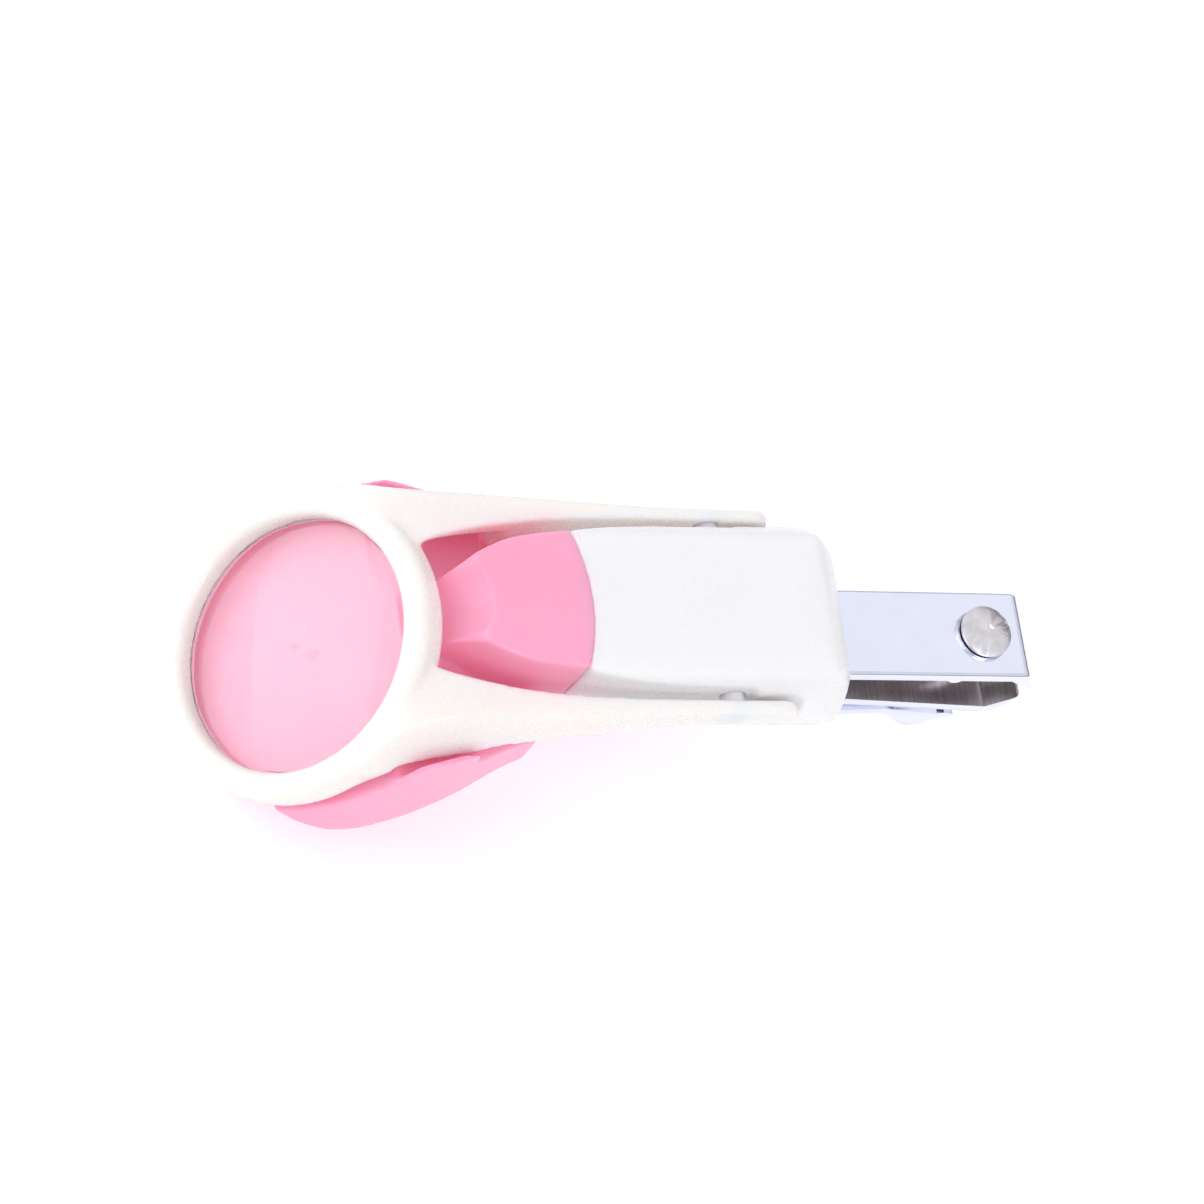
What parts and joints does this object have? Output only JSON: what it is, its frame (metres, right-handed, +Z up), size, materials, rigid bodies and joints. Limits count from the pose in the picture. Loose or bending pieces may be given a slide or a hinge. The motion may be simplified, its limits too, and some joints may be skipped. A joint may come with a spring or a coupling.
{
  "type": "nail clipper",
  "caption": "Lever-type nail clipper in a moulded handle, with a round magnifying lens on two arms that flips over the jaws.",
  "frame": {"origin": "on the surface the clipper lies on, below the middle of its bounding box", "axes": "+X forward to the cutting edges, +Y to the left, +Z up; the part is symmetric about the XZ plane"},
  "size_m": [0.0907, 0.0334, 0.0273],
  "materials": {
    "cover": "gloss",
    "pink": "satin",
    "ivory": "gloss",
    "chrome_jaw": "polished",
    "turned_pin": "turned",
    "screw_steel": "plated",
    "lens": "clear polished"
  },
  "bodies": {
    "handle": {"front_cover": "cover", "lower_shell": "cover", "housing_screws": "screw_steel", "pivot_pin_left": "cover", "pivot_pin_right": "cover", "rear_body": "pink", "rear_base": "pink", "body_screws": "screw_steel", "upper_jaw": "chrome_jaw", "jaw_rivet": "screw_steel"},
    "sprung_jaw": {"lower_jaw": "chrome_jaw"},
    "pin": {"lever_pin": "turned_pin"},
    "lever": {"lever_plate": "chrome_jaw", "lever_grip": "pink"},
    "magnifier": {"magnifier_frame": "ivory", "magnifier_lens": "lens", "lens_clip": "ivory"}
  },
  "joints": [
    {"name": "magnifier_fold", "type": "hinge", "parent": "handle", "child": "magnifier", "pos_m": [0.0071, 0, 0.0231], "axis": [0, 1, 0], "range_deg": [0, 155]},
    {"name": "jaw_close", "type": "hinge", "parent": "handle", "child": "sprung_jaw", "pos_m": [-0.0139, 0, 0.01815], "axis": [0, -1, 0], "range_deg": [0, 1.75], "stiffness_Nm_per_rad": 2},
    {"name": "pin_spin", "type": "hinge", "parent": "handle", "child": "pin", "pos_m": [0.0388, 0, 0.0162], "axis": [0, 0, 1], "continuous": true},
    {"name": "lever_flip", "type": "hinge", "parent": "pin", "child": "lever", "pos_m": [0.0388, 0, 0.0073], "axis": [0, -1, 0], "range_deg": [0, 140]}
  ]
}
